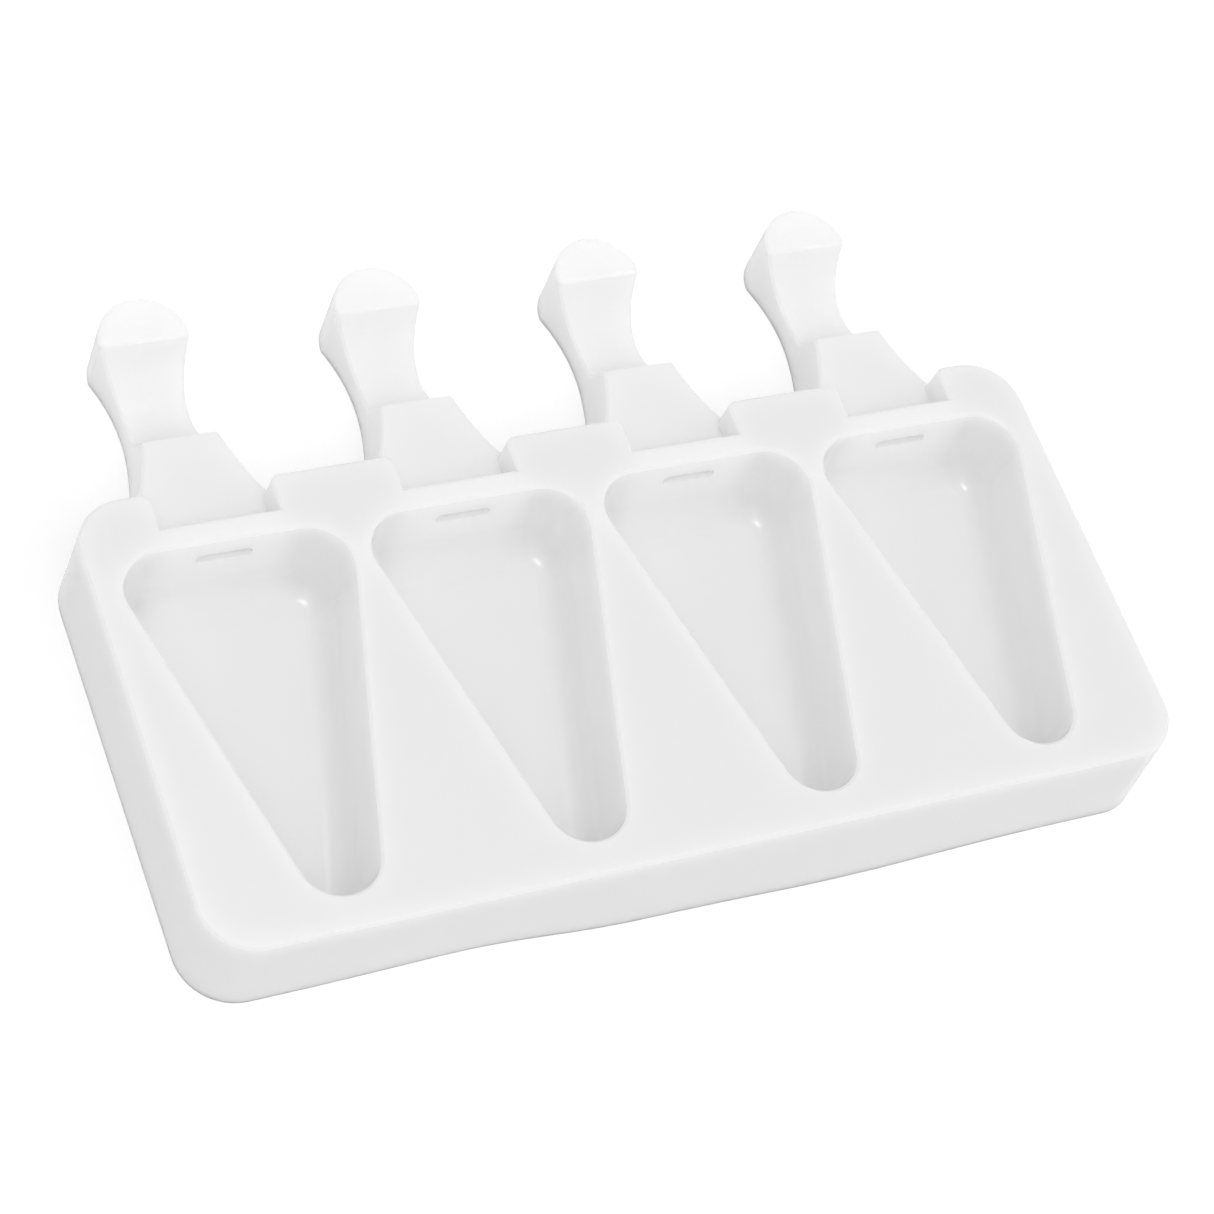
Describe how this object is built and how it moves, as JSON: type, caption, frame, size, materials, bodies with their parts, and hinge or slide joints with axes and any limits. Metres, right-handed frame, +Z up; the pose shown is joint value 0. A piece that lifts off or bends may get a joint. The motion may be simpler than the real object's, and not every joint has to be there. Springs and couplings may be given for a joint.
{
  "type": "ice pop mold",
  "caption": "White silicone ice pop mould: a flat tray with tapered cups, and a scooped stick rest behind each one.",
  "frame": {"origin": "the middle of the box round the whole mould, on the base that it stands on", "axes": "+X along the long side, +Y from the plain front edge towards the stick rests, +Z up"},
  "size_m": [0.1912, 0.1348, 0.02],
  "materials": {
    "silicone": "white food-grade silicone, satin"
  },
  "bodies": {
    "root": {"mould": "silicone"}
  },
  "joints": []
}
